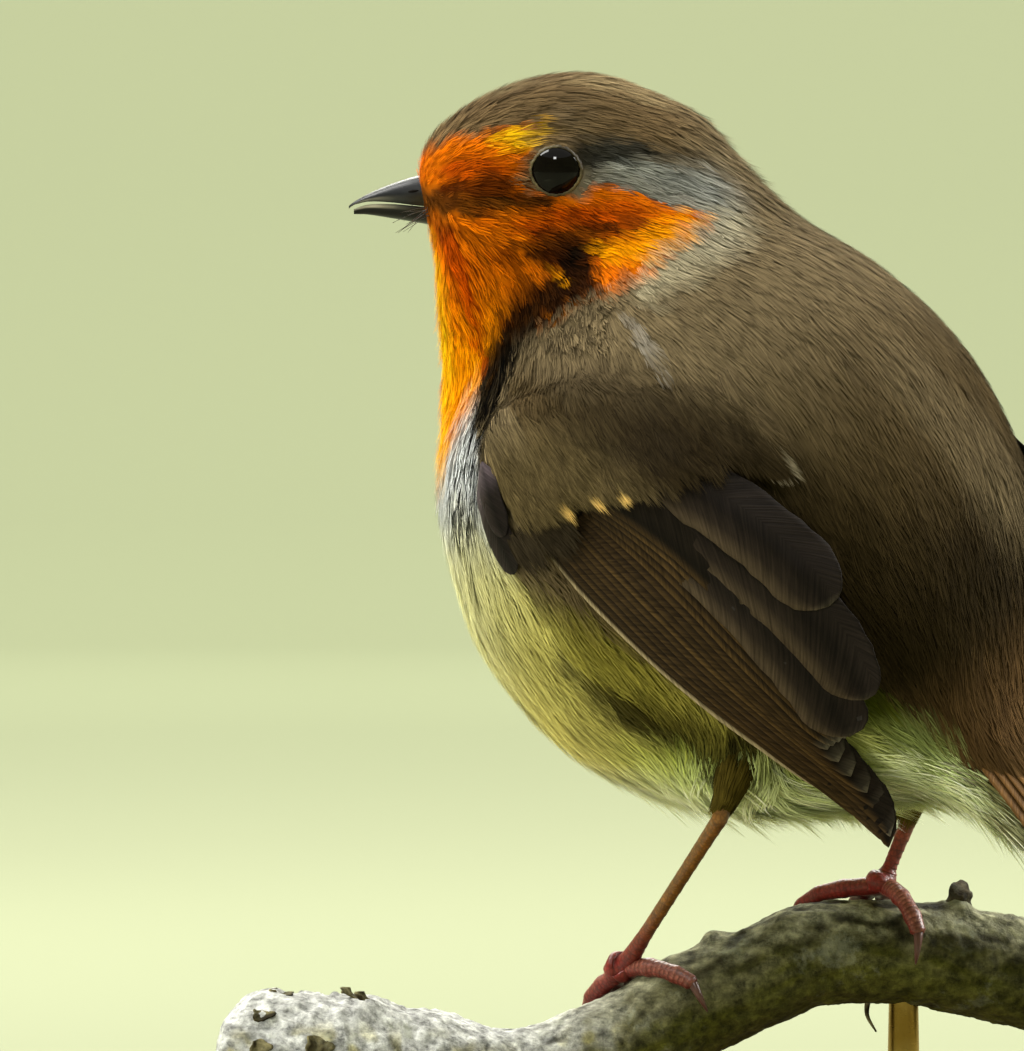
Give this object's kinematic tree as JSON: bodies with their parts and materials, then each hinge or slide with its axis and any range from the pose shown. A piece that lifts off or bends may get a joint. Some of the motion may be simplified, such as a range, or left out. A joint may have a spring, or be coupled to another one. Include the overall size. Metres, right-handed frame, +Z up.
{
  "type": "european robin on a perch",
  "caption": "Small plump songbird with an orange face and breast, head turned to its left, gripping a cut branch held over a round display base.",
  "frame": {"origin": "centre of the display base's underside", "axes": "+Z up, -X the way the bird's body faces, -Y its left side"},
  "size_m": [0.1214, 0.112, 0.1413],
  "materials": {
    "face_feathers": "soft orange-red face feathers",
    "brown_feathers": "soft olive-brown body feathers",
    "breast_feathers": "soft orange feathers",
    "pale_feathers": "soft off-white to buff feathers",
    "flight_feathers": "smooth dark brown vanes with paler edges",
    "bill_horn": "polished dark horn",
    "eye_gloss": "wet-looking near black",
    "leg_scales": "scaly red-brown skin",
    "claw_horn": "dark horn",
    "bark": "rough grey-green bark with lichen",
    "stand_wood": "dark satin varnish",
    "stand_brass": "satin brass"
  },
  "bodies": {
    "root": {"head": "face_feathers", "nape": "brown_feathers", "throat": "breast_feathers", "mantle": "brown_feathers", "breast": "breast_feathers", "belly": "pale_feathers", "rump": "brown_feathers", "vent": "pale_feathers", "tail": "flight_feathers", "bill_upper": "bill_horn", "bill_lower": "bill_horn", "eye_left": "eye_gloss", "eye_right": "eye_gloss", "wing_left_coverts": "brown_feathers", "wing_left_tertials": "flight_feathers", "wing_left_primaries": "flight_feathers", "thigh_left": "brown_feathers", "tarsus_left": "leg_scales", "toe_left_hind": "leg_scales", "toe_left_outer": "leg_scales", "toe_left_middle": "leg_scales", "toe_left_inner": "leg_scales", "claw_left_hind": "claw_horn", "claw_left_outer": "claw_horn", "claw_left_middle": "claw_horn", "claw_left_inner": "claw_horn", "wing_right_coverts": "brown_feathers", "wing_right_tertials": "flight_feathers", "wing_right_primaries": "flight_feathers", "thigh_right": "brown_feathers", "tarsus_right": "leg_scales", "toe_right_hind": "leg_scales", "toe_right_outer": "leg_scales", "toe_right_middle": "leg_scales", "toe_right_inner": "leg_scales", "claw_right_hind": "claw_horn", "claw_right_outer": "claw_horn", "claw_right_middle": "claw_horn", "claw_right_inner": "claw_horn", "perch_branch": "bark", "stand_base": "stand_wood", "stand_rod_front": "stand_brass", "stand_rod_back": "stand_brass"}
  },
  "joints": []
}
